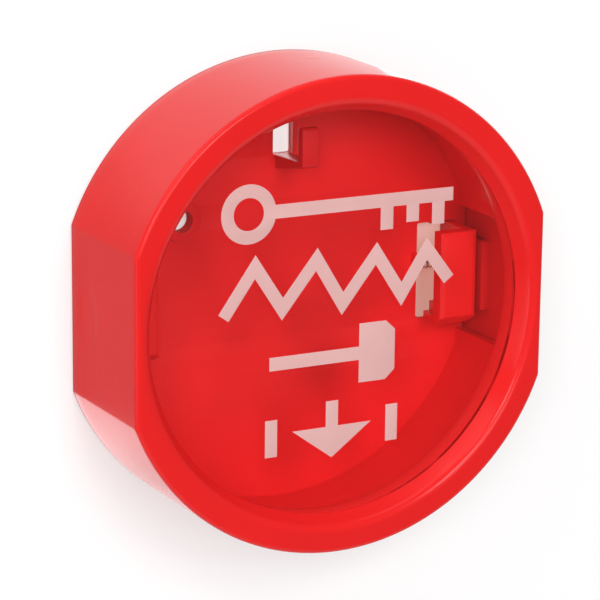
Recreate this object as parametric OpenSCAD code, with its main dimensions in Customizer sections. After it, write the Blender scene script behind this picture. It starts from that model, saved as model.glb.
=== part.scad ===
// Break glass key box: a round wall box whose cover holds a printed glass pane.
// Every piece is built from the wall outwards (X right, Y up, Z away from the wall)
// and then stood up, so that the finished box hangs on the plane Y = 0 and faces -Y.

/* [Cover] */
// Outside diameter of the cover at its back rim
cover_d = 120; // [108:1:140]
// How deep each side flat cuts into the round outline
flat_cut = 3.8; // [2:0.2:6]
// Depth of the cover from the wall to its front face
cover_depth = 37.2; // [32:0.2:50]
// Wall of the cover
cover_wall = 2.5; // [2:0.1:3.2]
// How much narrower the cover is at the front, on each side
front_inset = 0.45; // [0:0.05:1]
// Radius of the cover's outer front edge
front_round = 1.2; // [0.4:0.1:2]
// Thickness of the bezel, which is the depth of the recess
bezel_t = 4.6; // [3:0.1:6]
// How much the recess widens towards the front, on each side
recess_flare = 1.5; // [0.5:0.1:2]
// Radius of the recess's front edge
lip_round = 2.6; // [1:0.1:2.8]
// Height of each keeper lug inside the flats
keeper_h = 18; // [12:1:22]
// How far a keeper lug stands in from the flat
keeper_t = 2.4; // [2:0.1:3]
// Distance from the wall to the back of a keeper lug
keeper_z = 5; // [4:0.5:8]
// Length of a keeper lug away from the wall
keeper_len = 10; // [8:0.5:12]
// Depth of the keeper's pocket
pocket_depth = 1.5; // [1:0.1:1.8]

/* [Glass and ring] */
// Thickness of the glass
pane_t = 2; // [1.5:0.1:3]
// How far the bezel laps over the glass
pane_lap = 2.1; // [1.5:0.1:4]
// Thickness of the retaining ring's lip round the glass, at the flats
ring_lip = 0.8; // [0.6:0.1:2]
// Depth of the retaining ring behind the glass
ring_depth = 4.4; // [3:0.1:6]
// How far the ring's bore stands back from the window's edge
ring_reveal = 0.6; // [0.5:0.1:1.4]

/* [Base] */
// Thickness of the back plate
plate_t = 2.8; // [2.6:0.1:4]
// Wall of the collar that the cover slides over
collar_wall = 2.2; // [1.6:0.1:3]
// Screw hole offset from the centre, sideways
screw_x = 28.2; // [20:0.2:32]
// Screw hole offset from the centre, upwards on the left and downwards on the right
screw_y = 19.8; // [16:0.2:26]
// Diameter of the screw holes
screw_d = 5.6; // [4:0.1:7]
// Diameter of the boss round each screw hole
boss_d = 10.4; // [8.5:0.1:13]
// How far a boss stands out of the plate
boss_rise = 1; // [0.5:0.1:2]
// Open strip above and below each catch
bay_gap = 4.2; // [1:0.1:5]

/* [Key hook] */
// Width of the key hook
hook_w = 4.6; // [3.5:0.1:5]
// Height of the hook's seat above the centre of the box
hook_seat = 34.2; // [28:0.2:35]
// Distance from the wall to the hook's front
hook_reach = 17.6; // [13:0.2:22]
// Height of the hook's upturned tip above the seat
hook_rise = 9.1; // [6:0.1:11]
// Thickness of the upturned tip
tip_t = 2.7; // [2:0.1:3.5]
// Thickness of the hook's arm at the plate
arm_root = 3.4; // [2.5:0.1:4.5]
// Thickness of the hook's arm at the tip
arm_end = 1.5; // [1.2:0.1:2.4]
// Width of the slot behind the hook
hook_slot_w = 5.6; // [5.2:0.1:7]
// Height of the slot behind the hook
hook_slot_h = 12; // [9:0.1:13]

/* [Catches] */
// Width of a catch's thumb pad
pad_w = 10.4; // [9:0.1:12]
// Height of a catch's thumb pad
pad_h = 24.6; // [22:0.1:30]
// Thickness of the thumb pad
pad_t = 4; // [3:0.1:5]
// Distance from the wall to the front of the thumb pad
pad_front = 15; // [14:0.1:18]
// Chamfer on the front edges of the thumb pad
pad_chamfer = 1.2; // [0.5:0.1:1.8]
// How far the pad's lower edge slopes back
pad_slope = 2; // [0:0.1:3]
// Wall of the catch that goes through the plate
stem_t = 2.4; // [2:0.1:3]
// Length of the catch's nose
nose_len = 1.2; // [0.8:0.1:1.8]
// Thickness of the nose, away from the wall
nose_t = 3.5; // [2.5:0.1:4.5]
// Thickness of the runners that keep the catch in the plate
runner_t = 1.2; // [0.8:0.1:1.4]
// How far the runners reach past the slot
runner_reach = 2.3; // [1.5:0.1:3]
// Length of the runners along their travel
runner_len = 6; // [4:0.1:7]
// Travel of a catch
catch_travel = 3.2; // [1.5:0.1:3.6]

/* [Catch springs] */
// Outside diameter of a spring
spring_d = 4.4; // [4:0.1:5]
// Diameter of the spring's wire
wire_d = 0.5; // [0.4:0.05:0.6]
// Turns in a spring
spring_turns = 5.5; // [4:0.5:6]
// Height of the spring's axis above the centre of the box
spring_y = 2.6; // [0:0.1:4]
// Distance from the wall to the spring's axis
spring_z = 2.7; // [2.6:0.1:3.2]
// Length of the pin on the catch that the spring sits on
pin_len = 2.2; // [1:0.1:2.4]

/* [Clearances] */
// Gap between the cover and the collar
slide_gap = 0.3; // [0.2:0.05:0.5]
// Gap between the ring and the cover, and between the ring and the glass's edge
ring_gap = 0.2; // [0.1:0.05:0.4]
// Gap between the ring and the collar that backs it
seat_gap = 0.3; // [0.1:0.05:0.5]
// Gap round a catch, its nose and its runners
catch_gap = 0.3; // [0.2:0.05:0.4]
// Gap between the catches and the wall
wall_gap = 0.1; // [0.1:0.05:0.3]
// Gap between a spring and what it sits on
spring_gap = 0.05; // [0.05:0.05:0.1]

/* [Hidden] */
cut = 0.5;
round_fn = 180;
hole_fn = 48;
arc_step = 15;
red = [0.88, 0.12, 0.12];
glass = [0.82, 0.9, 0.92, 0.35];
steel = [0.72, 0.7, 0.68];

// Cover and what fits in it
cover_r = cover_d / 2;
flat_x = cover_r - flat_cut;
inside_r = cover_r - cover_wall;
inside_x = flat_x - cover_wall;
ring_x = inside_x - ring_gap;
pane_r = ring_x - ring_lip - ring_gap;
window_r = pane_r - pane_lap;
pane_front = cover_depth - bezel_t;
pane_back = pane_front - pane_t;
ring_back = pane_back - ring_depth;
keeper_x = inside_x - keeper_t;
collar_r = inside_r - slide_gap;
collar_x = inside_x - slide_gap;
collar_h = ring_back - seat_gap;

// Catches, given for the right-hand one
nose_tip = keeper_x - catch_gap;
catch_x = nose_tip - nose_len;
pad_x = catch_x - pad_w;
stem_x = catch_x - stem_t;
slot_x0 = pad_x - catch_gap;
slot_x1 = catch_x + catch_gap;
slot_half = pad_h / 2 + catch_gap;
bay_half = pad_h / 2 + bay_gap;
runner_x = catch_x - runner_len;
runner_half = slot_half + runner_reach;
pocket_wall = 0.7;
nose_h = keeper_h - 2 * (pocket_wall + catch_gap);
nose_z = keeper_z + keeper_len / 4;
rib_z = plate_t + 0.4;
rib_inset = 1.7;
rib_t = 1.7;
rib_step = 4.2;

// Springs
spring_x0 = slot_x0 + spring_gap;
spring_len = stem_x - spring_gap - spring_x0;
coil_r = (spring_d - wire_d) / 2;
pin_d = spring_d - 2 * wire_d - 0.4;
seat_t = 1.8;
rings_per_turn = 8;
wire_sides = 6;

// Outline of a round body with two flats
module outline(r, x) {
    intersection() {
        circle(r = r, $fn = round_fn);
        square([2 * x, 3 * r], center = true);
    }
}

// A layer with that outline between two depths
module slice(r, x, z0, z1) {
    translate([0, 0, z0]) linear_extrude(z1 - z0) outline(r, x);
}

// A box given by its two ends on each axis
module block(x0, x1, y0, y1, z0, z1) {
    translate([x0, y0, z0]) cube([x1 - x0, y1 - y0, z1 - z0]);
}

// A solid whose side view, as points [depth, height], runs from x0 to x1
module side_view(x0, x1, points) {
    translate([x1, 0, 0]) rotate([0, -90, 0]) linear_extrude(x1 - x0) polygon(points);
}

// Stands a piece up, from the wall outwards to along -Y
module hang() {
    rotate([90, 0, 0]) children();
}

// One copy as it is, for the right, and one turned over to the left
module both_sides() {
    children();
    mirror([1, 0, 0]) children();
}

// Side of the cover from its back rim to its rounded front edge
function cover_side(r) = concat(
    [[r, 0]],
    [for (a = [0:arc_step:90]) [r - front_inset - front_round * (1 - cos(a)),
                                cover_depth - front_round * (1 - sin(a))]]);

// The same side, seen twice, for the flats
function both_ways(side) = concat(
    side, [for (i = [len(side) - 1:-1:0]) [-side[i][0], side[i][1]]]);

module cover_body() {
    intersection() {
        rotate_extrude($fn = round_fn)
            polygon(concat([[0, 0]], cover_side(cover_r), [[0, cover_depth]]));
        rotate([90, 0, 0])
            linear_extrude(3 * cover_r, center = true) polygon(both_ways(cover_side(flat_x)));
    }
}

// Opening in the bezel, flared towards the front with a broadly rounded lip
module window() {
    lip_r = window_r + recess_flare + lip_round;
    rotate_extrude($fn = round_fn) polygon(concat(
        [[0, pane_front - cut], [window_r, pane_front - cut], [window_r, pane_front]],
        [for (a = [180:-arc_step:90]) [lip_r + lip_round * cos(a),
                                       cover_depth - lip_round * (1 - sin(a))]],
        [[lip_r, cover_depth + cut], [0, cover_depth + cut]]));
}

// Lug inside a flat, with the pocket that a catch's nose faces
module keeper() {
    difference() {
        block(keeper_x, inside_x + cover_wall / 2, -keeper_h / 2, keeper_h / 2,
              keeper_z, keeper_z + keeper_len);
        block(keeper_x - cut, keeper_x + pocket_depth,
              -keeper_h / 2 + pocket_wall, keeper_h / 2 - pocket_wall,
              nose_z - catch_gap, nose_z + nose_t + catch_gap);
    }
}

module cover() {
    color(red) hang() {
        difference() {
            cover_body();
            slice(inside_r, inside_x, -cut, pane_front);
            window();
        }
        both_sides() keeper();
    }
}

module glass_pane() {
    color(glass) hang() translate([0, 0, pane_back]) cylinder(r = pane_r, h = pane_t, $fn = round_fn);
}

// Ring that carries the glass's edge and backs it
module pane_ring() {
    color(red) hang() difference() {
        slice(inside_r - ring_gap, ring_x, ring_back, pane_front);
        translate([0, 0, ring_back - cut])
            cylinder(r = window_r + ring_reveal, h = ring_depth + pane_t + 2 * cut, $fn = round_fn);
        translate([0, 0, pane_back])
            cylinder(r = pane_r + ring_gap, h = pane_t + cut, $fn = round_fn);
    }
}

// Collar that the cover slides over, open where the catches are
module collar() {
    difference() {
        slice(collar_r, collar_x, 0, collar_h);
        slice(collar_r - collar_wall, collar_x - collar_wall, -cut, collar_h + cut);
        block(-cover_r, cover_r, -bay_half, bay_half, plate_t, collar_h + cut);
    }
}

// Children at the two screw places, upper left and lower right
module at_screws() {
    translate([-screw_x, screw_y, 0]) children();
    translate([screw_x, -screw_y, 0]) children();
}

// Upturned hook for the key ring
module key_hook() {
    tip_back = hook_reach - tip_t;
    tip_top = hook_seat + hook_rise;
    arm_rise = (hook_reach - plate_t) / 30;
    tip_round = tip_t / 3;
    side_view(-hook_w / 2, hook_w / 2, concat(
        [[plate_t - cut, hook_seat - arm_root], [plate_t, hook_seat - arm_root],
         [hook_reach - tip_round, hook_seat + arm_rise - arm_end]],
        [for (a = [-90:arc_step * 2:0]) [hook_reach - tip_round * (1 - cos(a)),
                                         hook_seat + arm_rise - arm_end + tip_round * (1.3 + sin(a))]],
        [for (a = [0:arc_step * 2:90]) [hook_reach - tip_round * (1 - cos(a)),
                                        tip_top - tip_round * (1 - sin(a))]],
        [for (a = [90:arc_step * 2:180]) [tip_back + tip_round * (1 + cos(a)),
                                          tip_top - tip_round * (1 - sin(a))]],
        [[tip_back, hook_seat + arm_rise], [plate_t, hook_seat], [plate_t - cut, hook_seat]]));
}

// Raised end wall for a spring, beside the slot
module spring_seat() {
    block(slot_x0 - seat_t, slot_x0, spring_y - spring_d / 2 - 0.2, spring_y + spring_d / 2 + 0.2,
          plate_t - cut, spring_z + spring_d / 2 + 0.2);
}

// Slot for one catch, with the undercut at the back where its runners slide
module catch_slot() {
    block(slot_x0, slot_x1, -slot_half, slot_half, -cut, plate_t + cut);
    block(runner_x - catch_travel - catch_gap, slot_x1, -runner_half - catch_gap,
          runner_half + catch_gap, -cut, runner_t + catch_gap);
}

module base_plate() {
    color(red) hang() difference() {
        union() {
            slice(collar_r, collar_x, 0, plate_t);
            collar();
            at_screws() cylinder(d = boss_d, h = plate_t + boss_rise, $fn = hole_fn);
            key_hook();
            both_sides() spring_seat();
        }
        at_screws() translate([0, 0, -cut])
            cylinder(d = screw_d, h = plate_t + boss_rise + 2 * cut, $fn = hole_fn);
        block(-hook_slot_w / 2, hook_slot_w / 2, hook_seat, hook_seat + hook_slot_h,
              -cut, plate_t + cut);
        both_sides() catch_slot();
    }
}

// Thumb pad with chamfered front edges and a lower edge that slopes back
module thumb_pad() {
    back = pad_front - pad_t;
    top = pad_h / 2;
    intersection() {
        side_view(pad_x, catch_x, [
            [back, -top], [pad_front - pad_chamfer, -top + pad_slope - pad_chamfer / 2],
            [pad_front, -top + pad_slope + pad_chamfer / 2], [pad_front, top - pad_chamfer],
            [pad_front - pad_chamfer / 2, top], [back, top]]);
        rotate([-90, 0, 0]) linear_extrude(pad_h + cut, center = true) polygon([
            [pad_x, -back], [pad_x, -pad_front + pad_chamfer / 2], [pad_x + pad_chamfer, -pad_front],
            [catch_x - pad_chamfer, -pad_front], [catch_x, -pad_front + pad_chamfer / 2],
            [catch_x, -back]]);
    }
}

// Stepped rib that stiffens the pad's lower end, clear of the plate
module lower_rib() {
    low = -pad_h / 2;
    deep = pad_front - pad_t + cut;
    block(pad_x + rib_inset, stem_x + cut, low, low + rib_t, rib_z, deep);
    block(pad_x + 2 * rib_inset, stem_x + cut, low, low + rib_step, rib_z, deep);
}

// One catch, for the right: pad, wall through the plate, runners, nose and spring pin
module right_hand_catch() {
    thumb_pad();
    lower_rib();
    block(stem_x, catch_x, -pad_h / 2, pad_h / 2, wall_gap, pad_front - pad_t + cut);
    block(runner_x, catch_x, -runner_half, -pad_h / 2 + cut, wall_gap, runner_t);
    block(runner_x, catch_x, pad_h / 2 - cut, runner_half, wall_gap, runner_t);
    block(catch_x - cut, nose_tip, -nose_h / 2, nose_h / 2, nose_z, nose_z + nose_t);
    translate([stem_x - pin_len, spring_y, spring_z]) rotate([0, 90, 0])
        cylinder(d = pin_d, h = pin_len + cut, $fn = hole_fn);
}
module right_catch() {
    color(red) hang() right_hand_catch();
}

module left_catch() {
    color(red) hang() mirror([1, 0, 0]) right_hand_catch();
}

// Angle and distance along the axis at each ring of the spring's wire: a short straight
// end, the turns, and a short straight end
function coil_steps() = let (n = spring_turns * rings_per_turn, run = spring_len - 2 * wire_d)
    concat([[0, 0], [0, wire_d * 0.7], [8, wire_d]],
           [for (i = [1:n - 1]) [i * 360 / rings_per_turn, wire_d + run * i / n]],
           [[n * 360 / rings_per_turn - 8, spring_len - wire_d],
            [n * 360 / rings_per_turn, spring_len - wire_d * 0.7],
            [n * 360 / rings_per_turn, spring_len]]);

function coil_point(s) = [s[1], coil_r * cos(s[0]), coil_r * sin(s[0])];

function unit(v) = v / norm(v);

// Direction of the wire at a point of its path
function along(p, i) = unit(p[min(i + 1, len(p) - 1)] - p[max(i - 1, 0)]);

// Corners of the wire's section at one ring
function wire_ring(p, steps, i) =
    let (out = [0, cos(steps[i][0]), sin(steps[i][0])], side = unit(cross(along(p, i), out)),
         up = cross(side, along(p, i)))
    [for (k = [0:wire_sides - 1])
        p[i] + wire_d / 2 * (cos(k * 360 / wire_sides) * up + sin(k * 360 / wire_sides) * side)];

// Least gap between one turn of the wire and the next
function coil_gap(p) = min([for (i = [0:len(p) - 1], j = [i + rings_per_turn / 2:1:len(p) - 1])
    norm(p[i] - p[j])]) - wire_d;

module spring() {
    steps = coil_steps();
    path = [for (s = steps) coil_point(s)];
    rings = len(path);
    echo(str("Least gap between turns of a catch spring: ", coil_gap(path), " mm"));
    points = [for (i = [0:rings - 1]) each wire_ring(path, steps, i)];
    skin = [for (i = [0:rings - 2], k = [0:wire_sides - 1])
        let (a = i * wire_sides + k, b = i * wire_sides + (k + 1) % wire_sides)
        each [[a, b, a + wire_sides], [b, b + wire_sides, a + wire_sides]]];
    last = (rings - 1) * wire_sides;
    ends = [for (k = [1:wire_sides - 2])
        each [[0, k + 1, k], [last, last + k, last + k + 1]]];
    polyhedron(points, concat(skin, ends));
}

module right_hand_spring() {
    translate([spring_x0, spring_y, spring_z]) spring();
}

module right_catch_spring() {
    color(steel) hang() right_hand_spring();
}

module left_catch_spring() {
    color(steel) hang() mirror([1, 0, 0]) right_hand_spring();
}

cover();
glass_pane();
pane_ring();
base_plate();
left_catch();
right_catch();
left_catch_spring();
right_catch_spring();
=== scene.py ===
"""Break glass key box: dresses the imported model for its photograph's view.

Sizes are in millimetres, measured from the wall outwards as in the part, and are
turned into the row frame (X right, -Y out of the wall, Z up, metres) by place().
"""
import math

import bmesh
import bpy
from mathutils import Matrix, Vector


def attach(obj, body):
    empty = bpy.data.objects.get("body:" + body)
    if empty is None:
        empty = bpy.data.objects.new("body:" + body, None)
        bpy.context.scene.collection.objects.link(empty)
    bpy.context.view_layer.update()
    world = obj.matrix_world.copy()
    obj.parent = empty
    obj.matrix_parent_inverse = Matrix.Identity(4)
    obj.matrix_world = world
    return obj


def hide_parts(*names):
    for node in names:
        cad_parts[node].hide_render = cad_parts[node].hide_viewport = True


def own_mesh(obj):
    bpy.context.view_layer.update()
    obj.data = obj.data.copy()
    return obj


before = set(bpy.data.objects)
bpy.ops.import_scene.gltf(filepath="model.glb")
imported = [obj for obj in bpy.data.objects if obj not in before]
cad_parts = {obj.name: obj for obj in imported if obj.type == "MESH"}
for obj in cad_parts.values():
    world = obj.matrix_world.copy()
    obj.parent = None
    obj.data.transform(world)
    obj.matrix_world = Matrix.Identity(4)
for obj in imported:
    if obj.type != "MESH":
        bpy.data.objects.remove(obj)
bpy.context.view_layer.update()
MM = 0.001
SIDES = (("left", -1), ("right", 1))

# Sizes of the solids, as in the part: _R is a radius, _X and _Z are places from the middle, _H is half
# a height, _W a width and _T a thickness
COVER_R, FLAT_X, DEPTH, INSET, CORNER_ROUND = 60.0, 56.2, 37.2, 0.45, 1.7
FRONT_ROUND, BACK_ROUND, WALL = 1.2, 0.35, 2.5
WINDOW_R, BEZEL_T, LIP_R, LIP_ROUND, LIP_TILT = 50.4, 4.6, 54.5, 2.6, 61
INNER_R, INNER_X, INNER_ROUND = COVER_R - WALL, FLAT_X - WALL, 0.8
KEEPER_H, KEEPER_T, KEEPER_BACK, KEEPER_FRONT = 9.0, 2.4, 5.0, 15.0
POCKET_BACK, POCKET_FRONT, POCKET_WALL, POCKET_END = 6.9, 11.6, 0.9, 0.7
PANE_R, PANE_T = 52.5, 2.0
PANE_FRONT = DEPTH - BEZEL_T
PANE_BACK = PANE_FRONT - PANE_T
RING_R, RING_DEPTH, RING_GAP = 51.0, 4.4, 0.2
RING_BACK = PANE_BACK - RING_DEPTH
COLLAR_GAP, COLLAR_T, COLLAR_ROUND = 0.3, 2.2, 1.2
COLLAR_R, COLLAR_X = INNER_R - COLLAR_GAP, INNER_X - COLLAR_GAP
COLLAR_FRONT = RING_BACK - COLLAR_GAP
PLATE_T, TRACK_DEPTH, BAY_H = 2.8, 1.6, 16.5
SLOT_X0, SLOT_X1, SLOT_H, SLOT_ROUND = 39.1, 50.1, 12.6, 0.5
RUNNER_X, RUNNER_H = 40.3, 15.2
SCREW_X, SCREW_Z, SCREW_R, BOSS_R, BOSS_RISE = 28.2, 19.8, 2.8, 5.2, 1.0
HOOK_W, HOOK_SEAT, HOOK_REACH, HOOK_RISE = 4.6, 34.2, 17.6, 9.1
TIP_T, ARM_ROOT, ARM_END, SEAT_CLIMB = 2.7, 3.4, 1.5, 0.49
HOOK_SLOT_W, HOOK_SLOT_RISE = 5.6, 12.0
SPRING_D, WIRE_D, SPRING_TURNS, SPRING_SOLID = 4.4, 0.5, 5.5, 3.2
SPRING_Z, SPRING_OUT, SPRING_SEAT_T, SPRING_SEAT_H = 2.6, 2.7, 1.8, 2.4
SPRING_X0, SPRING_X1 = SLOT_X0 + 0.05, 47.35
# How far a piece that stands on another reaches into it
SUNK = 0.3


def place(x, z, out):
    """A point given by its place on the wall and its distance out from it."""
    return Vector((x * MM, -out * MM, z * MM))


# Outlines, as lists of (x, z) points
def angles(start, end, steps):
    """Even steps from one angle to another in degrees, as radians."""
    return [math.radians(start + (end - start) * i / steps) for i in range(steps + 1)]


def arc(cx, cz, r, start, end, steps):
    return [(cx + r * math.cos(a), cz + r * math.sin(a)) for a in angles(start, end, steps)]


def fillet_outline(r, fx, rho, n_flat=10, n_corner=5, n_arc=96):
    """A circle with two flats at x = fx and -fx, whose corners are rounded by rho."""
    cx = fx - rho
    cz = math.sqrt((r - rho) ** 2 - cx ** 2)
    phi = math.atan2(cz, cx)
    quarter = [(fx, -cz + 2 * cz * i / n_flat) for i in range(n_flat)]
    quarter += [(cx + rho * math.cos(phi * i / n_corner), cz + rho * math.sin(phi * i / n_corner))
                for i in range(n_corner)]
    crown = [(r * math.cos(t), r * math.sin(t))
             for t in (phi + (math.pi - 2 * phi) * i / n_arc for i in range(n_arc))]
    left = [(-cx - rho * math.cos(phi * (1 - i / n_corner)), cz + rho * math.sin(phi * (1 - i / n_corner)))
            for i in range(n_corner)]
    half = quarter + crown + left
    return half + [(-x, -z) for x, z in half]


def circle_like(points, r):
    """A circle with one point for each point of an outline, at the same bearing."""
    out = []
    for x, z in points:
        d = math.hypot(x, z)
        out.append((x * r / d, z * r / d))
    return out


def between(a, b, t):
    """An outline a share t of the way from one outline to another."""
    return [(p[0] + (q[0] - p[0]) * t, p[1] + (q[1] - p[1]) * t) for p, q in zip(a, b)]


def rounded_box_loop(x0, x1, z0, z1, r, steps=4):
    corners = ((x1 - r, z1 - r), (x0 + r, z1 - r), (x0 + r, z0 + r), (x1 - r, z0 + r))
    out = []
    for i, (cx, cz) in enumerate(corners):
        out += arc(cx, cz, r, 90 * i, 90 * i + 90, steps)
    return out


def round_loop(cx, cz, r, steps=64):
    return arc(cx, cz, r, 0, 360, steps)[:-1]


def mirrored(loop):
    return [(-x, z) for x, z in reversed(loop)]


# Mesh helpers
def finish_mesh(name, bm, angle, body, material, slot):
    """Makes a visible piece that rides a body, smooth but for edges sharper than the angle."""
    bmesh.ops.recalc_face_normals(bm, faces=bm.faces)
    mesh = bpy.data.meshes.new(name)
    bm.to_mesh(mesh)
    bm.free()
    mesh.shade_smooth()
    mesh.set_sharp_from_angle(angle=math.radians(angle))
    obj = bpy.data.objects.new(name, mesh)
    bpy.context.scene.collection.objects.link(obj)
    mesh.materials.append(material)
    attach(obj, body)
    return obj


def skin(bm, rings):
    """Extrudes a closed outline through (points, distance out) rings in turn and back to the first."""
    points, out = rings[0]
    row = [bm.verts.new(place(x, z, out)) for x, z in points]
    edges = [bm.edges.new(pair) for pair in zip(row, row[1:] + row[:1])]
    for points, out in rings[1:] + rings[:1]:
        swept = bmesh.ops.extrude_edge_only(bm, edges=edges)["geom"]
        fresh = {g for g in swept if isinstance(g, bmesh.types.BMVert)}
        edges = [g for g in swept if isinstance(g, bmesh.types.BMEdge) and fresh.issuperset(g.verts)]
        row = [next(e.other_vert(v) for e in v.link_edges if e.other_vert(v) in fresh) for v in row]
        for v, (x, z) in zip(row, points):
            v.co = place(x, z, out)
    bmesh.ops.remove_doubles(bm, verts=bm.verts, dist=1e-7)


def turned(bm, profile, centre, steps):
    """Spins a closed (radius, distance out) profile about an axis square to the wall."""
    verts = [bm.verts.new(place(centre[0] + r, centre[1], out)) for r, out in profile]
    edges = [bm.edges.new(pair) for pair in zip(verts, verts[1:] + verts[:1])]
    bmesh.ops.spin(bm, geom=verts + edges, cent=place(*centre, 0), axis=(0, 1, 0), angle=2 * math.pi,
                   steps=steps, use_merge=True)
    bmesh.ops.remove_doubles(bm, verts=bm.verts, dist=1e-7)


def slab(name, loops, low, high, bevel, turn=None, **extra):
    """A flat plate with holes, given by loops of points, with rounded edges.

    It lies between two distances from the wall, unless a turn says how it stands.
    """
    curve = bpy.data.curves.new(name + "_outline", "CURVE")
    curve.dimensions = "2D"
    curve.fill_mode = "BOTH"
    curve.extrude = ((high - low) / 2 - bevel) * MM
    curve.bevel_depth = bevel * MM
    curve.bevel_resolution = 2
    curve.offset = -bevel * MM
    for loop in loops:
        spline = curve.splines.new("POLY")
        spline.points.add(len(loop) - 1)
        for point, (x, z) in zip(spline.points, loop):
            point.co = (x * MM, z * MM, 0, 1)
        spline.use_cyclic_u = True
    holder = bpy.data.objects.new(name + "_outline", curve)
    bpy.context.scene.collection.objects.link(holder)
    bpy.context.view_layer.update()
    graph = bpy.context.evaluated_depsgraph_get()
    mesh = bpy.data.meshes.new_from_object(holder.evaluated_get(graph))
    bm = bmesh.new()
    bm.from_mesh(mesh)
    bpy.data.meshes.remove(mesh)
    bpy.data.objects.remove(holder)
    bpy.data.curves.remove(curve)
    bmesh.ops.remove_doubles(bm, verts=bm.verts, dist=2e-7)
    if turn is None:
        middle = (low + high) / 2 * MM
        turn = Matrix(((1, 0, 0, 0), (0, 0, -1, -middle), (0, 1, 0, 0), (0, 0, 0, 1)))
    bmesh.ops.transform(bm, matrix=turn, verts=bm.verts)
    return finish_mesh(name, bm, 32, **extra)


# Materials
def new_tree(name):
    mat = bpy.data.materials.new(name)
    mat.use_nodes = True
    tree = mat.node_tree
    return mat, tree, tree.nodes["Principled BSDF"], tree.nodes["Material Output"]


def group_tree(name, inputs, outputs):
    tree = bpy.data.node_groups.new(name, "ShaderNodeTree")
    for kind, label, value in inputs:
        tree.interface.new_socket(label, in_out="INPUT", socket_type=kind).default_value = value
    for kind, label in outputs:
        tree.interface.new_socket(label, in_out="OUTPUT", socket_type=kind)
    return tree, tree.nodes.new("NodeGroupInput"), tree.nodes.new("NodeGroupOutput")


def math_node(tree, operation, *values, clamp=False):
    node = tree.nodes.new("ShaderNodeMath")
    node.operation = operation
    node.use_clamp = clamp
    for socket, value in zip(node.inputs, values):
        if isinstance(value, (int, float)):
            socket.default_value = value
        else:
            tree.links.new(value, socket)
    return node.outputs[0]


def ramp(tree, value, start, end, low=0.0, high=1.0, kind="SMOOTHSTEP"):
    """Goes from low to high while the value goes from start to end."""
    node = tree.nodes.new("ShaderNodeMapRange")
    node.interpolation_type = kind
    node.inputs["From Min"].default_value = start
    node.inputs["From Max"].default_value = end
    node.inputs["To Min"].default_value = low
    node.inputs["To Max"].default_value = high
    tree.links.new(value, node.inputs["Value"])
    return node.outputs["Result"]


def object_coordinates(tree):
    return tree.nodes.new("ShaderNodeTexCoord").outputs["Object"]


def noise(tree, vector, scale, detail, rough=0.5):
    node = tree.nodes.new("ShaderNodeTexNoise")
    node.inputs["Scale"].default_value = scale
    node.inputs["Detail"].default_value = detail
    node.inputs["Roughness"].default_value = rough
    tree.links.new(vector, node.inputs["Vector"])
    return node.outputs["Fac"]


def swing(tree, fac, amount):
    """Turns a noise value into a change either way about nothing."""
    return math_node(tree, "MULTIPLY", math_node(tree, "SUBTRACT", fac, 0.5), amount)


def shaded(tree, color, value):
    """A colour, given as a value or a socket, made lighter or darker."""
    node = tree.nodes.new("ShaderNodeHueSaturation")
    if isinstance(color, tuple):
        node.inputs["Color"].default_value = (*color, 1)
    else:
        tree.links.new(color, node.inputs["Color"])
    tree.links.new(value, node.inputs["Value"])
    return node.outputs["Color"]


def bump(tree, height, strength, distance):
    """Fine relief, where a height of 1 stands for a distance in millimetres."""
    node = tree.nodes.new("ShaderNodeBump")
    node.inputs["Strength"].default_value = strength
    node.inputs["Distance"].default_value = distance * MM
    tree.links.new(height, node.inputs["Height"])
    return node.outputs["Normal"]


def mix_shaders(tree, factor, first, second, out):
    """Shows the first shader where the factor is 0 and the second where it is 1."""
    mix = tree.nodes.new("ShaderNodeMixShader")
    tree.links.new(factor, mix.inputs["Fac"])
    tree.links.new(first.outputs[0], mix.inputs[1])
    tree.links.new(second.outputs[0], mix.inputs[2])
    tree.links.new(mix.outputs[0], out.inputs["Surface"])


def moulded_group():
    """Moulded plastic: cloudy colour, uneven gloss, fine pitting and a slow waviness."""
    tree, gin, gout = group_tree(
        "moulded_plastic",
        [("NodeSocketColor", "Color", (0.8, 0.02, 0.02, 1)), ("NodeSocketFloat", "Gloss", 0.3),
         ("NodeSocketFloat", "Dimple", 0.0)],
        [("NodeSocketColor", "Color"), ("NodeSocketFloat", "Roughness"), ("NodeSocketVector", "Normal")])
    coord = object_coordinates(tree)
    flow = tree.nodes.new("ShaderNodeMapping")
    flow.inputs["Scale"].default_value = (1.0, 6.0, 1.0)
    tree.links.new(coord, flow.inputs["Vector"])
    cloud = noise(tree, coord, 38.0, 3.0)
    streak = noise(tree, flow.outputs[0], 55.0, 2.0)
    scuff = noise(tree, coord, 420.0, 4.0, 0.7)
    grain = noise(tree, coord, 2400.0, 2.0)
    wave = noise(tree, coord, 120.0, 1.0)
    value = math_node(tree, "MULTIPLY_ADD", cloud, 0.12, 0.94)
    value = math_node(tree, "ADD", value, swing(tree, streak, 0.05))
    tree.links.new(shaded(tree, gin.outputs["Color"], value), gout.inputs["Color"])
    rough = math_node(tree, "ADD", gin.outputs["Gloss"], swing(tree, cloud, 0.08))
    rough = math_node(tree, "ADD", rough, swing(tree, scuff, 0.02), clamp=True)
    tree.links.new(rough, gout.inputs["Roughness"])
    height = math_node(tree, "ADD", math_node(tree, "MULTIPLY", grain, 0.002),
                       math_node(tree, "MULTIPLY", wave, 0.016))
    height = math_node(tree, "ADD", height, gin.outputs["Dimple"])
    tree.links.new(bump(tree, height, 1.0, 0.4), gout.inputs["Normal"])
    return tree


MOULDED = moulded_group()


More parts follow.
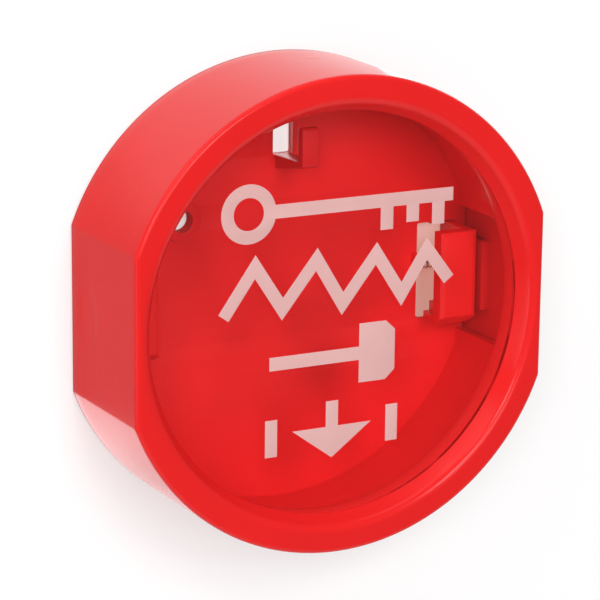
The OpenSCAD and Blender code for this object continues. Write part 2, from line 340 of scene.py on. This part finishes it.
def use_moulded(tree, shader, color, gloss, dimple=None):
    node = tree.nodes.new("ShaderNodeGroup")
    node.node_tree = MOULDED
    node.inputs["Color"].default_value = (*color, 1)
    node.inputs["Gloss"].default_value = gloss
    if dimple is not None:
        tree.links.new(dimple, node.inputs["Dimple"])
    tree.links.new(node.outputs["Color"], shader.inputs["Base Color"])
    tree.links.new(node.outputs["Roughness"], shader.inputs["Roughness"])
    tree.links.new(node.outputs["Normal"], shader.inputs["Normal"])


def patch(tree, coord, centre, half, soft):
    """1 inside a rounded patch of the given half sizes, falling off softly to 0."""
    shift = tree.nodes.new("ShaderNodeVectorMath")
    shift.operation = "SUBTRACT"
    shift.inputs[1].default_value = [c * MM for c in centre]
    tree.links.new(coord, shift.inputs[0])
    scale = tree.nodes.new("ShaderNodeVectorMath")
    scale.operation = "DIVIDE"
    scale.inputs[1].default_value = [h * MM for h in half]
    tree.links.new(shift.outputs[0], scale.inputs[0])
    length = tree.nodes.new("ShaderNodeVectorMath")
    length.operation = "LENGTH"
    tree.links.new(scale.outputs[0], length.inputs[0])
    return ramp(tree, length.outputs["Value"], 1.0, 1.0 - soft)


# Sink marks on the outside of the cover, over its keepers and on top: centre, half size and softness
SINK_MARKS = (((-56.0, -10.0, 0.0), (3.0, 5.2, 9.4), 0.35),
              ((56.0, -10.0, 0.0), (3.0, 5.2, 9.4), 0.35),
              ((1.6, -15.0, 60.0), (2.6, 1.3, 3.0), 0.5))
SINK_DEPTH = 0.22


def red_plastic(name, color, gloss, marks=()):
    mat, tree, shader, _ = new_tree(name)
    shader.inputs["IOR"].default_value = 1.45
    shader.inputs["Specular IOR Level"].default_value = 0.22
    dimple = None
    if marks:
        coord = object_coordinates(tree)
        dimple, *others = [patch(tree, coord, *mark) for mark in marks]
        for other in others:
            dimple = math_node(tree, "ADD", dimple, other)
        dimple = math_node(tree, "MULTIPLY", dimple, -SINK_DEPTH)
    use_moulded(tree, shader, color, gloss, dimple)
    return mat


def glass_material():
    """Clear pane: lets light straight through, and its outer faces mirror more at flatter angles."""
    mat, tree, shader, out = new_tree("pane_glass")
    tree.nodes.remove(shader)
    clear = tree.nodes.new("ShaderNodeBsdfTransparent")
    clear.inputs["Color"].default_value = (0.99, 0.998, 0.995, 1)
    gloss = tree.nodes.new("ShaderNodeBsdfGlossy")
    smear = noise(tree, object_coordinates(tree), 30.0, 4.0, 0.6)
    tree.links.new(ramp(tree, smear, 0.35, 0.75, 0.03, 0.10, "LINEAR"), gloss.inputs["Roughness"])
    fresnel = tree.nodes.new("ShaderNodeFresnel")
    fresnel.inputs["IOR"].default_value = 1.4
    geometry = tree.nodes.new("ShaderNodeNewGeometry")
    front = math_node(tree, "SUBTRACT", 1.0, geometry.outputs["Backfacing"])
    mix_shaders(tree, math_node(tree, "MULTIPLY", fresnel.outputs[0], front), clear, gloss, out)
    return mat


def print_material():
    """Screen-printed ink: chalky, a little uneven, with a faint mesh of the screen."""
    mat, tree, shader, _ = new_tree("print_ink")
    coord = object_coordinates(tree)
    cloud = noise(tree, coord, 160.0, 4.0, 0.6)
    value = math_node(tree, "MULTIPLY_ADD", cloud, 0.10, 0.95)
    tree.links.new(shaded(tree, (0.71, 0.405, 0.39), value), shader.inputs["Base Color"])
    rough = math_node(tree, "MULTIPLY_ADD", cloud, 0.2, 0.42)
    tree.links.new(rough, shader.inputs["Roughness"])
    screen = noise(tree, coord, 3000.0, 1.0)
    tree.links.new(bump(tree, screen, 0.25, 0.05), shader.inputs["Normal"])
    return mat


def wire_material():
    """Drawn spring wire: metal with fine, darker patches."""
    mat, tree, shader, _ = new_tree("spring_wire")
    shader.inputs["Metallic"].default_value = 1.0
    tone = noise(tree, object_coordinates(tree), 900.0, 3.0)
    metal = tree.nodes.new("ShaderNodeValToRGB")
    dark, bright = metal.color_ramp.elements
    dark.position, dark.color = 0.3, (0.30, 0.20, 0.16, 1)
    bright.position, bright.color = 0.75, (0.62, 0.52, 0.46, 1)
    tree.links.new(tone, metal.inputs["Fac"])
    tree.links.new(metal.outputs["Color"], shader.inputs["Base Color"])
    rough = math_node(tree, "MULTIPLY_ADD", tone, 0.2, 0.29)
    tree.links.new(rough, shader.inputs["Roughness"])
    return mat


SHINY, SATIN = 0.215, 0.36
RED_OUT = red_plastic("cover_red", (0.765, 0.014, 0.014), SHINY, SINK_MARKS)
# The base's red is mixed lighter than the cover's: painted light that keeps the shaded inside of the box
# bright
RED_IN_LIGHTENED = red_plastic("base_red_painted_light", (0.89, 0.013, 0.015), SATIN)
RED_RING = red_plastic("ring_red", (0.88, 0.018, 0.018), SHINY)
# The hook is moulded with the base, yet its red is mixed darker: painted shade that tones down its lit tip
RED_HOOK_DARKENED = red_plastic("hook_red_painted_shade", (0.70, 0.012, 0.014), SATIN)
RED_CATCH = red_plastic("catch_red", (0.88, 0.013, 0.013), SATIN)
GLASS = glass_material()
INK = print_material()
WIRE = wire_material()


# Cover
def cover_rings():
    """The cover's section, ring by ring: up the side, over the front edge and the lip, back inside."""
    side_end = DEPTH - FRONT_ROUND

    def outer(d, out):
        cut = d + INSET * min(out / side_end, 1.0)
        return fillet_outline(COVER_R - cut, FLAT_X - cut, max(CORNER_ROUND - d, 0.3)), out

    rings = [outer(BACK_ROUND * (1 - math.sin(a)), BACK_ROUND * (1 - math.cos(a)))
             for a in angles(0, 90, 3)]
    rings += [outer(0, out) for out in (4, 10, 16, 22, 28, 33, side_end - 0.05)]
    rings += [outer(FRONT_ROUND * (1 - math.cos(a)), side_end + FRONT_ROUND * math.sin(a))
              for a in angles(0, 90, 9)]
    edge = rings[-1][0]
    rings += [(between(edge, circle_like(edge, LIP_R), t), DEPTH) for t in (0.06, 0.35, 0.65, 0.94)]
    rings += [(circle_like(edge, LIP_R - LIP_ROUND * math.sin(a)), DEPTH - LIP_ROUND * (1 - math.cos(a)))
              for a in angles(0, LIP_TILT, 9)]
    brink_r = LIP_R - LIP_ROUND * math.sin(math.radians(LIP_TILT))
    brink = rings[-1][1]
    for t in (0.7, 0.4, 0.1):
        flare = WINDOW_R + (brink_r - WINDOW_R) * t
        rings.append((circle_like(edge, flare), PANE_FRONT + (brink - PANE_FRONT) * t))
    seat = circle_like(edge, WINDOW_R + 0.25)
    inner = fillet_outline(INNER_R, INNER_X, INNER_ROUND)
    rings += [(circle_like(edge, WINDOW_R + 0.05), PANE_FRONT + 0.08), (seat, PANE_FRONT)]
    rings += [(between(seat, inner, t), PANE_FRONT) for t in (0.3, 0.7, 1.0)]
    rings += [(inner, out) for out in (PANE_FRONT - 0.3, 24, 16, 8, BACK_ROUND)]
    for a in angles(45, 90, 1):
        grow = BACK_ROUND * math.sin(a)
        rings.append((fillet_outline(INNER_R + grow, INNER_X + grow, INNER_ROUND), BACK_ROUND - grow))
    return rings


def build_keeper(side, sx):
    """The lug inside a flat, as five plates round the pocket for the catch's nose."""
    lap, into_wall = 0.2, INNER_X + 0.6
    lug = sorted((sx * (INNER_X - KEEPER_T), sx * into_wall))
    wall = sorted((sx * (INNER_X - POCKET_WALL), sx * into_wall))
    pocket = (POCKET_BACK - lap, POCKET_FRONT + lap)
    end = KEEPER_H - POCKET_END
    plates = [(lug, (-KEEPER_H, KEEPER_H), (KEEPER_BACK, POCKET_BACK)),
              (lug, (-KEEPER_H, KEEPER_H), (POCKET_FRONT, KEEPER_FRONT)),
              (wall, (-KEEPER_H, KEEPER_H), pocket),
              (lug, (end, KEEPER_H), pocket),
              (lug, (-KEEPER_H, -end), pocket)]
    for i, (across, up, out) in enumerate(plates):
        slab(f"{side}_keeper_{i}", [rounded_box_loop(*across, *up, 0.2, 2)], *out, 0.12,
             body="cover", material=RED_OUT, slot="red_plastic")


def build_cover():
    bm = bmesh.new()
    skin(bm, cover_rings())
    shell = finish_mesh("cover_shell", bm, 40, "cover", RED_OUT, "red_plastic")
    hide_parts("cover")
    for side, sx in SIDES:
        build_keeper(side, sx)


def build_pane_ring():
    bevel = 0.3
    ring_r, ring_x = INNER_R - RING_GAP, INNER_X - RING_GAP
    outer = fillet_outline(ring_r, ring_x, 0.6)
    shrunk = fillet_outline(ring_r - bevel, ring_x - bevel, 0.4)
    rebate = circle_like(outer, PANE_R + RING_GAP)
    front = PANE_FRONT - 0.05
    rings = [(shrunk, RING_BACK), (outer, RING_BACK + bevel), (outer, front), (rebate, front),
             (rebate, PANE_BACK)]
    bore = ((0.25, PANE_BACK), (0.07, PANE_BACK - 0.07), (0, PANE_BACK - 0.25),
            (0, RING_BACK + bevel), (0.1, RING_BACK + 0.08), (bevel, RING_BACK))
    rings += [(circle_like(outer, RING_R + wider), out) for wider, out in bore]
    bm = bmesh.new()
    skin(bm, rings)
    ring = finish_mesh("pane_ring_body", bm, 40, "cover", RED_RING, "red_plastic")
    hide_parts("pane_ring")


def build_pane():
    bm = bmesh.new()
    middle = place(0, 0, (PANE_BACK + PANE_FRONT) / 2)
    stand = Matrix.Translation(middle) @ Matrix.Rotation(math.pi / 2, 4, "X")
    bmesh.ops.create_cone(bm, cap_ends=True, segments=240, radius1=PANE_R * MM, radius2=PANE_R * MM,
                          depth=PANE_T * MM, matrix=stand)
    rim = [e for e in bm.edges if any(len(f.verts) > 4 for f in e.link_faces)]
    bmesh.ops.bevel(bm, geom=rim, offset=0.3 * MM, offset_type="OFFSET", segments=2, profile=0.5,
                    affect="EDGES", material=-1)
    pane = finish_mesh("glass_disc", bm, 12, "cover", GLASS, "glass")
    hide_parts("glass_pane")


# Print on the glass: a key, a crack, a hammer and an arrow between two bars, in four rows
PEN = 3.3


def stroke(points):
    """Outline of a line drawn with a pen, with mitred bends."""
    half = PEN / 2
    left, right = [], []
    for i, p in enumerate(points):
        a = Vector(points[max(i - 1, 0)])
        b = Vector(points[min(i + 1, len(points) - 1)])
        d_in = (Vector(p) - a).normalized() if i > 0 else (b - Vector(p)).normalized()
        d_out = (b - Vector(p)).normalized() if i < len(points) - 1 else d_in
        normal_in, normal_out = Vector((-d_in.y, d_in.x)), Vector((-d_out.y, d_out.x))
        mitre = (normal_in + normal_out).normalized()
        reach = half / max(mitre.dot(normal_in), 0.35)
        left.append(tuple(Vector(p) + mitre * reach))
        right.append(tuple(Vector(p) - mitre * reach))
    return left + right[::-1]


def ink(name, *loops):
    slab("print_" + name, loops, PANE_FRONT + 0.005, PANE_FRONT + 0.05, 0.01,
         body="cover", material=INK, slot="glass")


def key_loops():
    """A key on its side: round the bow, along the blade with its three teeth, and the bow's hole."""
    bow_x, bow_z, bow_r, hole_r = -24.4, 27.2, 7.3, 4.0
    blade_low, blade_top, blade_end, tooth_w = 25.5, 28.9, 31.7, 3.5
    join = math.degrees(math.asin((blade_top - bow_z) / bow_r))
    key = arc(bow_x, bow_z, bow_r, join, 360 - join, 60)
    for x, drop in ((11.4, 5.6), (18.6, 4.3), (25.8, 5.6)):
        foot = blade_low - drop
        key += [(x, blade_low), (x, foot), (x + tooth_w, foot), (x + tooth_w, blade_low)]
    key += [(blade_end, blade_low), (blade_end, blade_top)]
    return key, round_loop(bow_x, bow_z, hole_r, 48)[::-1]


def build_print():
    ink("key", *key_loops())
    ink("crack", stroke([(-31.0, 2.4), (-22.6, 14.2), (-15.2, 3.0), (-6.0, 14.4), (1.2, 2.6), (10.4, 14.2),
                         (17.6, 3.2), (24.6, 14.0), (31.0, 5.6)]))
    ink("hammer", [(-18.6, -12.2), (6.0, -12.2), (6.0, -18.0), (13.4, -18.0), (16.0, -15.6), (16.0, -5.4),
                   (13.4, -3.0), (6.0, -3.0), (6.0, -8.8), (-18.6, -8.8)])
    ink("arrow", [(-3.0, -21.7), (-3.0, -28.2), (-12.2, -28.2), (-1.3, -36.2), (9.6, -28.2), (0.4, -28.2),
                  (0.4, -21.7)])
    for name, x in (("arrow_left", -18.0), ("arrow_right", 15.4)):
        ink(name, stroke([(x, -24.6), (x, -34.0)]))


# Base, which is one moulding: the plate, its collar, the screw bosses, the springs' seats and the hook
BASE = dict(body="base", material=RED_IN_LIGHTENED, slot="red_plastic")


def build_plate():
    """Two layers, because the catches' runners slide in a wider track behind the slots."""
    outline = fillet_outline(COLLAR_R, COLLAR_X, COLLAR_ROUND)
    half, top = HOOK_SLOT_W / 2, HOOK_SEAT + HOOK_SLOT_RISE
    behind_hook = rounded_box_loop(-half, half, HOOK_SEAT, top, SLOT_ROUND)
    screws = [round_loop(-SCREW_X, SCREW_Z, SCREW_R), round_loop(SCREW_X, -SCREW_Z, SCREW_R)]
    slot = rounded_box_loop(SLOT_X0, SLOT_X1, -SLOT_H, SLOT_H, SLOT_ROUND)
    track = [(SLOT_X0, -SLOT_H), (RUNNER_X, -SLOT_H), (RUNNER_X, -RUNNER_H), (SLOT_X1, -RUNNER_H)]
    track += [(x, -z) for x, z in reversed(track)]
    floor = slab("base_floor", [outline, behind_hook, slot, mirrored(slot), *screws],
                 TRACK_DEPTH - 0.1, PLATE_T, 0.25, **BASE)
    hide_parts("base_plate")
    slab("base_back", [outline, behind_hook, track, mirrored(track), *screws],
         0.0, TRACK_DEPTH, 0.15, **BASE)


def above_bays(r, x):
    """The part of a flattened circle above the catches' bays, from right to left."""
    points = [p for p in fillet_outline(r, x, COLLAR_ROUND) if p[1] > BAY_H]
    return [(x, BAY_H), *sorted(points, key=lambda p: math.atan2(p[1], p[0])), (-x, BAY_H)]


def build_collar():
    upper = above_bays(COLLAR_R, COLLAR_X) + above_bays(COLLAR_R - COLLAR_T, COLLAR_X - COLLAR_T)[::-1]
    lower = [(x, -z) for x, z in reversed(upper)]
    for name, loop in (("collar_upper", upper), ("collar_lower", lower)):
        slab(name, [loop], PLATE_T - SUNK, COLLAR_FRONT, 0.35, **BASE)


def build_boss(name, x, z):
    """A low ring round a screw hole, with soft edges and a small fillet at its foot."""
    top, foot = PLATE_T + BOSS_RISE, PLATE_T - SUNK
    profile = [(SCREW_R, foot), (SCREW_R, top - 0.25), (SCREW_R + 0.07, top - 0.07),
               (SCREW_R + 0.25, top), (BOSS_R - 0.35, top), (BOSS_R - 0.1, top - 0.1), (BOSS_R, top - 0.35),
               (BOSS_R, PLATE_T + 0.25), (BOSS_R + 0.08, PLATE_T + 0.08), (BOSS_R + 0.3, PLATE_T),
               (BOSS_R + 0.3, foot)]
    bm = bmesh.new()
    turned(bm, profile, (x, z), 72)
    finish_mesh(name, bm, 40, **BASE)


def build_spring_seat(side, sx):
    lo, hi = sorted((sx * (SLOT_X0 - SPRING_SEAT_T), sx * SLOT_X0))
    loop = rounded_box_loop(lo, hi, SPRING_Z - SPRING_SEAT_H, SPRING_Z + SPRING_SEAT_H, 0.3, 3)
    slab(side + "_spring_seat", [loop], PLATE_T - SUNK, SPRING_OUT + SPRING_SEAT_H, 0.2, **BASE)


def build_base():
    build_plate()
    build_collar()
    build_boss("boss_upper", -SCREW_X, SCREW_Z)
    build_boss("boss_lower", SCREW_X, -SCREW_Z)
    for side, sx in SIDES:
        build_spring_seat(side, sx)


def build_hook():
    """Side view of the hook as (distance out, height), extruded across."""
    r, root = 1.0, PLATE_T - 0.5
    tip_back, top = HOOK_REACH - TIP_T, HOOK_SEAT + HOOK_RISE
    seat_end = HOOK_SEAT + SEAT_CLIMB
    under = seat_end - ARM_END
    points = [(root, HOOK_SEAT - ARM_ROOT), (PLATE_T + 0.6, HOOK_SEAT - ARM_ROOT + 0.04)]
    points += [(HOOK_REACH - r, under)]
    points += arc(HOOK_REACH - r, under + r, r, -75, 0, 5)
    points += arc(HOOK_REACH - r, top - r, r, 0, 90, 6)
    points += arc(tip_back + r, top - r, r, 90, 180, 6)
    points += [(tip_back, seat_end + 0.7), (tip_back - 0.2, seat_end + 0.2), (tip_back - 0.7, seat_end),
               (root, HOOK_SEAT)]
    turn = Matrix(((0, 0, 1, 0), (-1, 0, 0, 0), (0, 1, 0, 0), (0, 0, 0, 1)))
    # The hook wears a darker red than the base: painted shade
    slab("key_hook", [points], -HOOK_W / 2, HOOK_W / 2, 0.3, turn=turn,
         body="base", material=RED_HOOK_DARKENED, slot="red_plastic")


# Catches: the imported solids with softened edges
def build_catch(side):
    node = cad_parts[side + "_catch"]
    bm = bmesh.new()
    bm.from_mesh(node.data)
    bmesh.ops.transform(bm, matrix=node.matrix_world, verts=bm.verts)
    bmesh.ops.remove_doubles(bm, verts=bm.verts, dist=1e-6)
    bmesh.ops.dissolve_limit(bm, angle_limit=math.radians(1.0), verts=bm.verts, edges=bm.edges)
    obj = finish_mesh(side + "_catch_body", bm, 30, side + "_catch", RED_CATCH, "red_plastic")
    bevel = obj.modifiers.new("edges", "BEVEL")
    bevel.width = 0.45 * MM
    bevel.segments = 3
    bevel.limit_method = "ANGLE"
    bevel.angle_limit = math.radians(20)
    bevel.harden_normals = True
    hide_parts(side + "_catch")


# Springs
def build_spring(side, sx):
    """Wire wound from the seat on the base to the catch."""
    coil_r, length = (SPRING_D - WIRE_D) / 2, SPRING_X1 - SPRING_X0
    steps = int(SPRING_TURNS * 28)
    pitch = (length - 2 * WIRE_D) / steps
    bm = bmesh.new()
    first = place(sx * (SPRING_X0 + WIRE_D), SPRING_Z + coil_r, SPRING_OUT)
    bmesh.ops.create_circle(bm, segments=12, radius=WIRE_D / 2 * MM,
                            matrix=Matrix.Translation(first) @ Matrix.Rotation(math.pi / 2, 4, "X"))
    bmesh.ops.spin(bm, geom=bm.verts[:] + bm.edges[:], cent=place(0, SPRING_Z, SPRING_OUT), axis=(1, 0, 0),
                   dvec=(sx * pitch * MM, 0, 0), angle=2 * math.pi * SPRING_TURNS, steps=steps)
    bmesh.ops.holes_fill(bm, edges=[e for e in bm.edges if e.is_boundary], sides=0)
    obj = finish_mesh(side + "_spring_coil", bm, 50, "base", WIRE, "spring_wire")
    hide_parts(side + "_catch_spring")
    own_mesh(obj)


# Stage, lamps and camera, placed in metres
WALL_GAP = 0.0006
# Rays shorter than this start on something that stands against the wall
TOUCHING = 0.0015
# Spots on the card behind the slots where light is painted in: x, z, and the distances between which each
# fades out
HOOK_GLOW_SPOT = (0.0, 0.040, 0.010, 0.015)
CATCH_BOUNCE_SPOT = (0.043, 0.0, 0.014, 0.018)
# Brightness of the card where it is seen, and what each spot adds to it: a painted glow behind the hook's
# slot, a faint painted shade behind the catches' slots
CARD, PAINTED_GLOW_AT_HOOK, PAINTED_SHADE_AT_CATCH = 0.46, 0.24, -0.02
# Painted reflection: brightness of the card seen only in mirror rays, which lays a sheen on the box: above,
# below, the share left at the far end below, and at the hook
PAINTED_SHEEN_ABOVE, PAINTED_SHEEN_BELOW, PAINTED_SHEEN_BELOW_FAR, PAINTED_REFLECTION_AT_HOOK = 0.72, 1.8, 0.48, 2.0
# Heights between which the painted sheen above comes in, and the painted sheen below comes in and fades
SHEEN_ABOVE_START, SHEEN_BELOW_START, SHEEN_BELOW_FADE = (0.025, 0.055), (0.030, 0.027), (0.022, -0.020)
# How steeply the painted sheen below climbs to the right
SHEEN_BELOW_SLOPE = 0.9


def backdrop_material():
    """White card: plain paint under the lamps, topped up where it is seen, so that it reads as white.

    Behind the hook's slot it glows brighter, a painted light, and behind the catches' slots it is a little
    darker and reddish, a painted shade with red bounce. Seen only in mirror rays it is brighter above and
    below than beside, and near the hook: a painted reflection that lays a pale sheen on the box.
    From behind, and to what stands against it, it is clear, so that the back of the box is lit.
    """
    mat, tree, shader, out = new_tree("backdrop_white_painted_light")
    shader.inputs["Base Color"].default_value = (0.55, 0.55, 0.55, 1)
    shader.inputs["Roughness"].default_value = 0.85
    shader.inputs["Specular IOR Level"].default_value = 0.1
    path = tree.nodes.new("ShaderNodeLightPath")
    split = tree.nodes.new("ShaderNodeSeparateXYZ")
    tree.links.new(object_coordinates(tree), split.inputs[0])
    x, z = split.outputs["X"], split.outputs["Z"]
    # The painted spots lie left and right alike, and are narrower than they are high
    narrow = 1.6
    folded = tree.nodes.new("ShaderNodeCombineXYZ")
    tree.links.new(math_node(tree, "MULTIPLY", math_node(tree, "ABSOLUTE", x), narrow), folded.inputs["X"])
    tree.links.new(z, folded.inputs["Z"])

    # A painted spot: 1 at a place on the card, fading to 0 between two distances
    def near(place_x, place_z, inner, outer):
        distance = tree.nodes.new("ShaderNodeVectorMath")
        distance.operation = "DISTANCE"
        distance.inputs[1].default_value = (place_x * narrow, 0, place_z)
        tree.links.new(folded.outputs[0], distance.inputs[0])
        return ramp(tree, distance.outputs["Value"], inner, outer, 1.0, 0.0)

    # Painted glow behind the hook's slot, and painted shade behind the catches' slots
    hook_glow_mask, catch_bounce_mask = near(*HOOK_GLOW_SPOT), near(*CATCH_BOUNCE_SPOT)
    # Painted red bounce light: the card's glow turns reddish behind the catches' slots
    painted_bounce_tint = tree.nodes.new("ShaderNodeMix")
    painted_bounce_tint.data_type = "RGBA"
    painted_bounce_tint.inputs["A"].default_value = (1, 1, 1, 1)
    painted_bounce_tint.inputs["B"].default_value = (1, 0.42, 0.32, 1)
    tree.links.new(catch_bounce_mask, painted_bounce_tint.inputs["Factor"])
    tree.links.new(painted_bounce_tint.outputs["Result"], shader.inputs["Emission Color"])
    # Seen directly or through the pane: the card's even white, plus the painted glow at the hook and a
    # faint painted shade at the catches
    seen = math_node(tree, "MULTIPLY_ADD", hook_glow_mask, PAINTED_GLOW_AT_HOOK, CARD)
    seen = math_node(tree, "MULTIPLY_ADD", catch_bounce_mask, PAINTED_SHADE_AT_CATCH, seen)
    looks = math_node(tree, "ADD", path.outputs["Is Camera Ray"], path.outputs["Is Transmission Ray"])
    seen = math_node(tree, "MULTIPLY", looks, seen)
    # Painted reflection, seen only in mirror rays: a pale sheen laid on the box from above and from below
    slant = math_node(tree, "MULTIPLY_ADD", x, -SHEEN_BELOW_SLOPE, z)
    below = math_node(tree, "MULTIPLY", ramp(tree, slant, *SHEEN_BELOW_START, 0.0, PAINTED_SHEEN_BELOW),
                      ramp(tree, slant, *SHEEN_BELOW_FADE, 1.0, PAINTED_SHEEN_BELOW_FAR))
    mirror = math_node(tree, "ADD", ramp(tree, z, *SHEEN_ABOVE_START, 0.0, PAINTED_SHEEN_ABOVE), below)
    # Painted reflection on the walls of the hook's slot
    mirror = math_node(tree, "MULTIPLY_ADD", hook_glow_mask, PAINTED_REFLECTION_AT_HOOK, mirror)
    mirror = math_node(tree, "MULTIPLY", path.outputs["Is Glossy Ray"], mirror)
    tree.links.new(math_node(tree, "ADD", seen, mirror), shader.inputs["Emission Strength"])
    clear = tree.nodes.new("ShaderNodeBsdfTransparent")
    geometry = tree.nodes.new("ShaderNodeNewGeometry")
    touching = math_node(tree, "LESS_THAN", path.outputs["Ray Length"], TOUCHING)
    see_through = math_node(tree, "MAXIMUM", geometry.outputs["Backfacing"], touching)
    mix_shaders(tree, see_through, shader, clear, out)
    return mat


def build_stage():
    """A wall just behind the box that sweeps forward into a floor."""
    half, top, low, reach, bend = 1.6, 1.5, -0.75, 1.2, 0.25
    profile = [(WALL_GAP, top), (WALL_GAP, low + bend)]
    profile += arc(WALL_GAP - bend, low + bend, bend, -10, -90, 8)
    profile += [(WALL_GAP - reach, low)]
    bm = bmesh.new()
    verts = [bm.verts.new((-half, y, z)) for y, z in profile]
    edges = [bm.edges.new(pair) for pair in zip(verts, verts[1:])]
    swept = bmesh.ops.extrude_edge_only(bm, edges=edges)
    far = [v for v in swept["geom"] if isinstance(v, bmesh.types.BMVert)]
    bmesh.ops.translate(bm, verts=far, vec=(2 * half, 0, 0))
    bm.normal_update()
    if max(bm.faces, key=lambda f: f.calc_area()).normal.y > 0:
        bmesh.ops.reverse_faces(bm, faces=bm.faces)
    mesh = bpy.data.meshes.new("backdrop")
    bm.to_mesh(mesh)
    bm.free()
    mesh.shade_smooth()
    mesh.materials.append(backdrop_material())
    backdrop = bpy.data.objects.new("backdrop", mesh)
    bpy.context.scene.collection.objects.link(backdrop)


# Rectangular lamps that face the box: name, place, size and power
LAMPS = (("camera_side", (-0.9, -1.33, 0.55), (0.36, 0.36), 6.0),
         ("high_front", (-0.1, -1.5, 0.75), (0.5, 0.5), 7.9),
         ("low_front", (-0.05, -1.7, 0.25), (0.6, 0.6), 5.3),
         ("upper_left", (-0.78, -0.6, 1.0), (0.5, 0.35), 1.7),
         ("lip_strip", (-0.74, -0.14, 0.95), (0.26, 0.8), 1.5),
         ("left_soft", (-1.4, -0.35, -0.1), (0.4, 0.9), 2.9),
         ("top_soft", (-0.1, -0.3, 1.4), (1.2, 0.4), 2.8))
ROOM_LIGHT = 0.35


def build_lights():
    for name, location, size, power in LAMPS:
        light = bpy.data.lights.new(name, "AREA")
        light.shape = "RECTANGLE"
        light.size, light.size_y = size
        light.energy = power
        obj = bpy.data.objects.new(name, light)
        obj.location = location
        obj.rotation_euler = (-Vector(location)).to_track_quat("-Z", "Y").to_euler()
        bpy.context.scene.collection.objects.link(obj)
    world = bpy.data.worlds.new("studio")
    bpy.context.scene.world = world
    world.use_nodes = True
    background = world.node_tree.nodes["Background"]
    background.inputs["Color"].default_value = (1, 1, 1, 1)
    background.inputs["Strength"].default_value = ROOM_LIGHT


def build_camera():
    """The photograph's viewpoint: its angles, its distance and its focal length on a 600-pixel picture."""
    azimuth, elevation, roll = (math.radians(a) for a in (27.679, 14.576, 0.634))
    distance, focal_px, picture_px, sensor = 0.695667, 2802.58, 600, 36.0
    target = Vector((-1.2258, -15.0, -0.3975)) * MM
    level = math.cos(elevation)
    back = Vector((-math.sin(azimuth) * level, -math.cos(azimuth) * level, math.sin(elevation)))
    right = Vector((-back.y, back.x, 0)).normalized()
    up = back.cross(right)
    tilted_right = right * math.cos(roll) + up * math.sin(roll)
    tilted_up = up * math.cos(roll) - right * math.sin(roll)
    cam = bpy.data.cameras.new("camera")
    cam.sensor_fit = "HORIZONTAL"
    cam.sensor_width = sensor
    cam.lens = focal_px / picture_px * sensor
    cam.clip_start, cam.clip_end = 0.05, 20.0
    obj = bpy.data.objects.new("camera", cam)
    basis = Matrix((tilted_right, tilted_up, back)).transposed().to_4x4()
    obj.matrix_world = Matrix.Translation(target + back * distance) @ basis
    bpy.context.scene.collection.objects.link(obj)
    bpy.context.scene.camera = obj


build_camera()
build_cover()
build_pane_ring()
build_pane()
build_print()
build_base()
build_hook()
for side, _ in SIDES:
    build_catch(side)
for side, sx in SIDES:
    build_spring(side, sx)
build_stage()
build_lights()
bpy.context.scene.view_settings.view_transform = "Standard"

bpy.context.view_layer.update()
